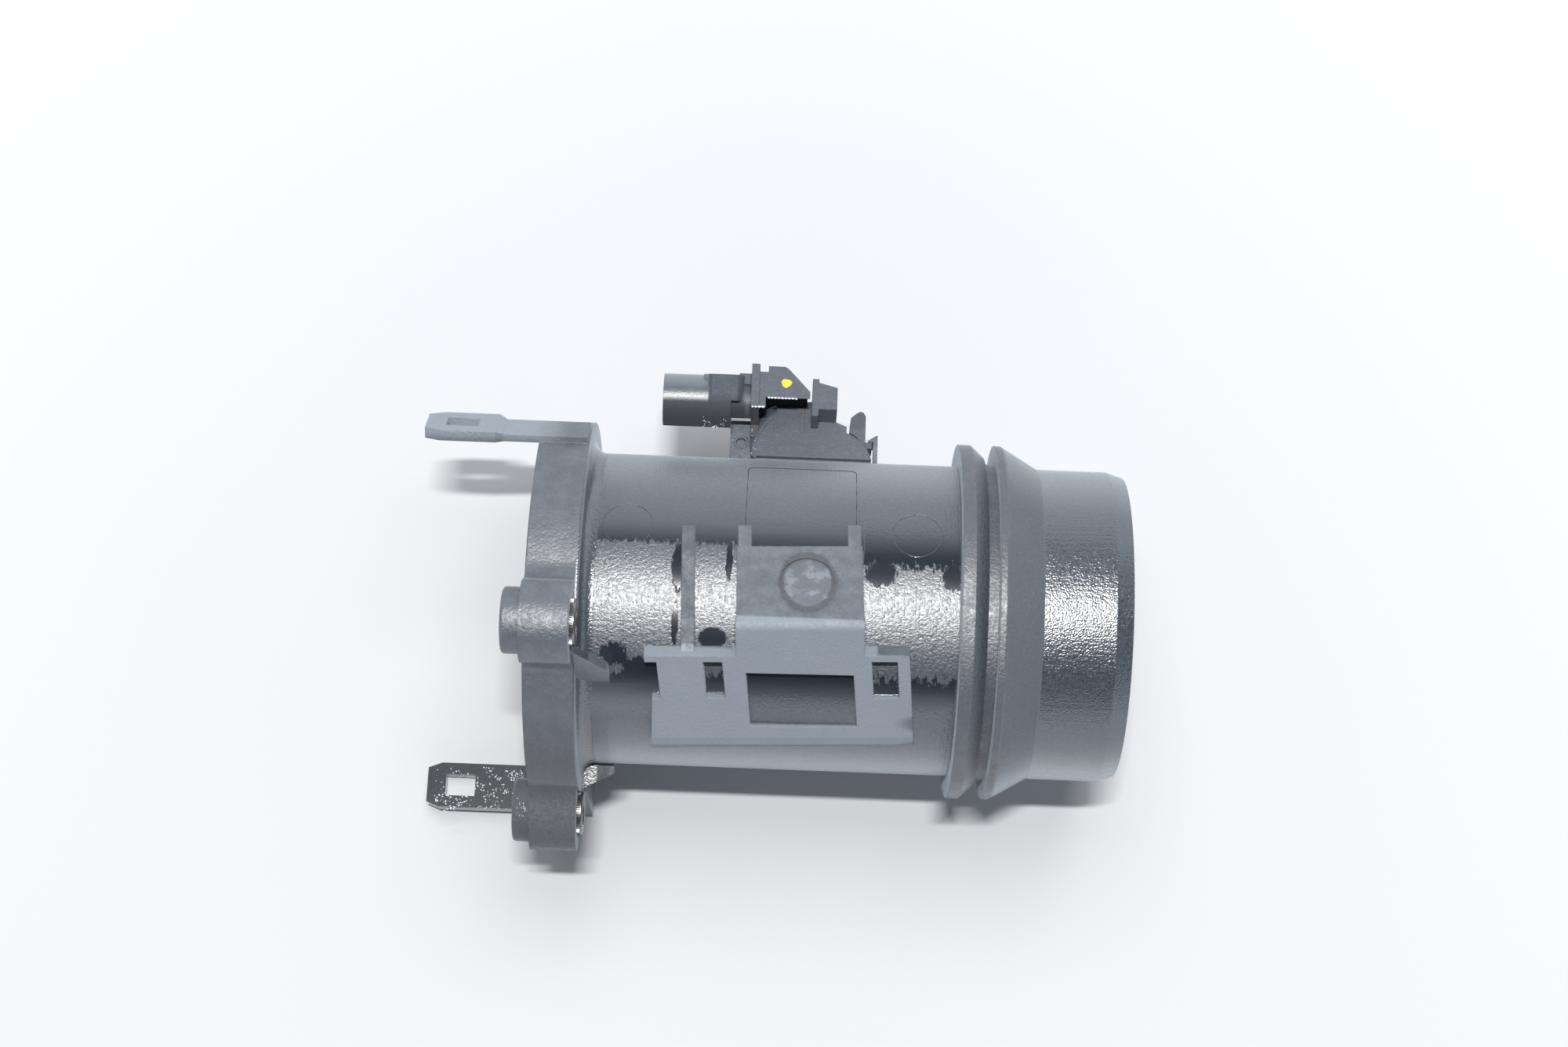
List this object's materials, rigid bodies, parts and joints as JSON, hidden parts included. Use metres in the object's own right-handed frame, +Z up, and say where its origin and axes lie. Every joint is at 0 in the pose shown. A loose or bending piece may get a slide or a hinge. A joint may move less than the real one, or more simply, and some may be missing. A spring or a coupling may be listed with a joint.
{
  "type": "mass airflow sensor",
  "caption": "Moulded air flow tube with flange, screw lobes, latch tabs and hose spigot, and a clip-in sensor with a round plug socket",
  "frame": {"origin": "centre of the tube where its axis meets the flange's mating face", "axes": "+X runs along the tube from the flange to the hose spigot, +Z is up with the part lying as pictured, +Y points to the side that the sensor and its plug socket stand on"},
  "size_m": [0.182, 0.1273, 0.1107],
  "materials": {
    "tube_plastic": "fine moulded grain, worn and damp in places",
    "sensor_plastic": "smooth moulded",
    "grid_plastic": "smooth moulded",
    "bush_steel": "knurled, dark",
    "seal_rubber": "smooth rubber",
    "board_green": "green board lacquer",
    "chip_black": "moulded chip body",
    "capacitor_tan": "fired ceramic",
    "carrier_white": "ceramic",
    "film_violet": "polished silicon",
    "bead_glass": "amber glass bead on plated leads",
    "pin_brass": "plated"
  },
  "bodies": {
    "root": {"tube_housing": "tube_plastic", "bush_upper": "bush_steel", "bush_lower": "bush_steel", "flange_seal": "seal_rubber", "flow_grid": "grid_plastic", "grid_ring": "grid_plastic", "sensor_housing": "sensor_plastic", "neck_seal": "seal_rubber", "drum_lid": "sensor_plastic", "lid_gasket": "seal_rubber", "circuit_board": "board_green", "control_chip": "chip_black", "board_capacitors": "capacitor_tan", "chip_carrier": "carrier_white", "film_chip": "film_violet", "bypass_cover": "sensor_plastic", "air_temp_probe": "bead_glass", "pin_1": "pin_brass", "pin_2": "pin_brass", "pin_3": "pin_brass", "pin_4": "pin_brass"}
  },
  "joints": []
}
